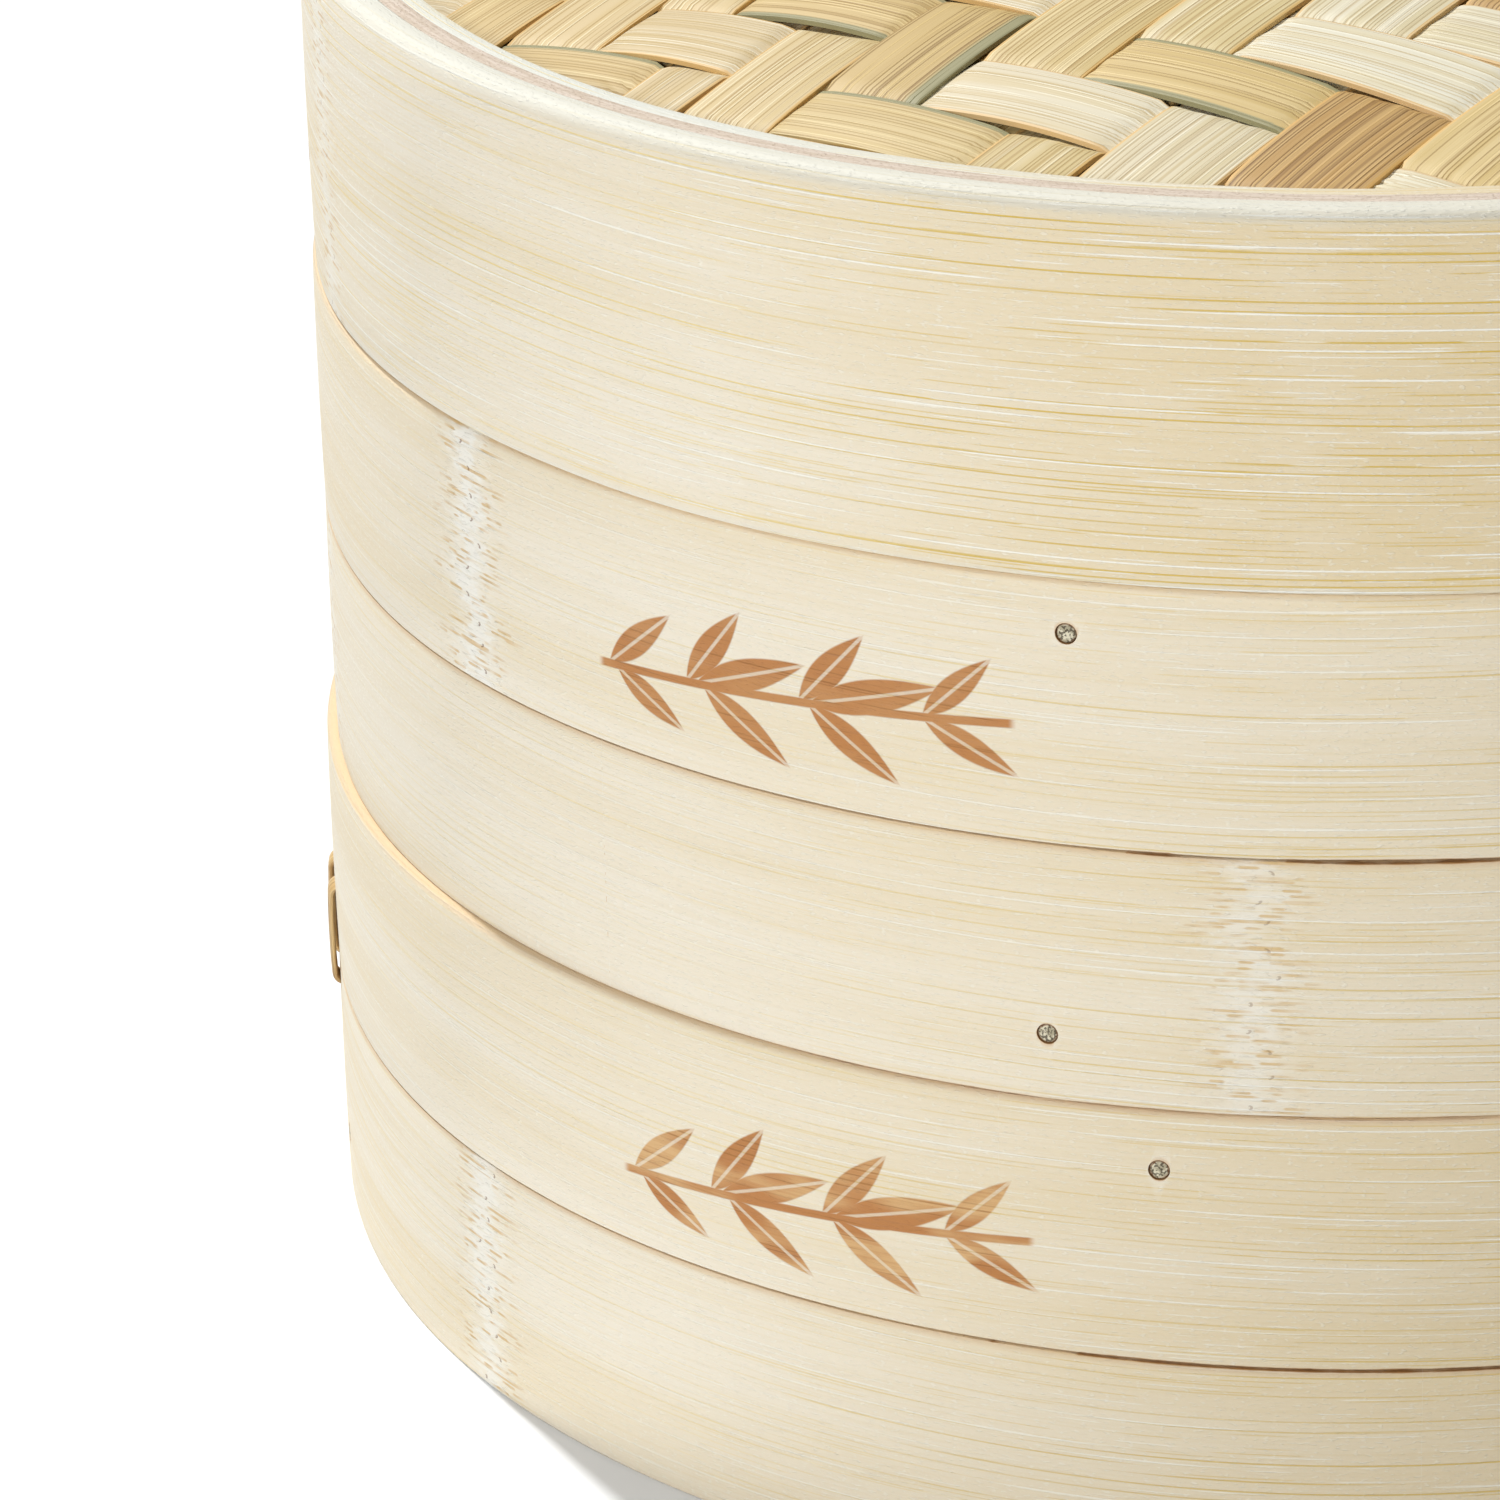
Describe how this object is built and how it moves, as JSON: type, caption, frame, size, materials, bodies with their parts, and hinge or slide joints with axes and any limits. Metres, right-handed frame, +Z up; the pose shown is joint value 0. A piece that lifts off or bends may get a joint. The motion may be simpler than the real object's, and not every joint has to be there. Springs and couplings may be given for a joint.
{
  "type": "bamboo steamer basket",
  "caption": "Round bamboo steamer with two stacking tiers, slatted floors and a woven domed lid that lifts off.",
  "frame": {"origin": "middle of the bottom, on the surface that the lower tier stands on", "axes": "+Z up, -Y the front with the two scorched marks, +X to the right seen from the front"},
  "size_m": [0.2575, 0.2551, 0.1774],
  "materials": {
    "outer_band": "planed bamboo, matt, fine grain along the hoop",
    "middle_strip": "raw bamboo edge, porous, matt",
    "inner_strip": "planed bamboo, matt",
    "floor_slat": "split bamboo slat, satin",
    "bearer": "split bamboo batten, satin",
    "woven_strip": "split bamboo strip, satin, fine fibres",
    "peg": "bamboo peg, end grain",
    "cane_lashing": "flat cane, satin"
  },
  "bodies": {
    "lower_tier": {"lower_floor_pegs": "peg", "lower_floor_ring": "inner_strip", "lower_front_batten": "bearer", "lower_inner_hoop": "inner_strip", "lower_lashing": "cane_lashing", "lower_lower_band": "outer_band", "lower_middle_hoop": "middle_strip", "lower_rear_batten": "bearer", "lower_slat_01": "floor_slat", "lower_slat_02": "floor_slat", "lower_slat_03": "floor_slat", "lower_slat_04": "floor_slat", "lower_slat_05": "floor_slat", "lower_slat_06": "floor_slat", "lower_slat_07": "floor_slat", "lower_slat_08": "floor_slat", "lower_slat_09": "floor_slat", "lower_slat_10": "floor_slat", "lower_slat_11": "floor_slat", "lower_slat_pins": "peg", "lower_upper_band": "outer_band", "lower_wall_pegs": "peg"},
    "upper_tier": {"upper_floor_pegs": "peg", "upper_floor_ring": "inner_strip", "upper_front_batten": "bearer", "upper_inner_hoop": "inner_strip", "upper_lashing": "cane_lashing", "upper_lower_band": "outer_band", "upper_middle_hoop": "middle_strip", "upper_rear_batten": "bearer", "upper_slat_01": "floor_slat", "upper_slat_02": "floor_slat", "upper_slat_03": "floor_slat", "upper_slat_04": "floor_slat", "upper_slat_05": "floor_slat", "upper_slat_06": "floor_slat", "upper_slat_07": "floor_slat", "upper_slat_08": "floor_slat", "upper_slat_09": "floor_slat", "upper_slat_10": "floor_slat", "upper_slat_11": "floor_slat", "upper_slat_pins": "peg", "upper_upper_band": "outer_band", "upper_wall_pegs": "peg"},
    "lid": {"lid_cross_rib": "bearer", "lid_inner_hoop": "inner_strip", "lid_inner_weave": "woven_strip", "lid_lashing": "cane_lashing", "lid_long_rib": "bearer", "lid_middle_hoop": "middle_strip", "lid_outer_band": "outer_band", "lid_outer_weave": "woven_strip", "lid_support_hoop": "inner_strip", "lid_wall_pegs": "peg"}
  },
  "joints": [
    {"name": "upper_tier_lift", "type": "slide", "parent": "lower_tier", "child": "upper_tier", "axis": [0, 0, 1], "range_m": [0, 0.12]},
    {"name": "lid_lift", "type": "slide", "parent": "upper_tier", "child": "lid", "axis": [0, 0, 1], "range_m": [0, 0.12]}
  ]
}
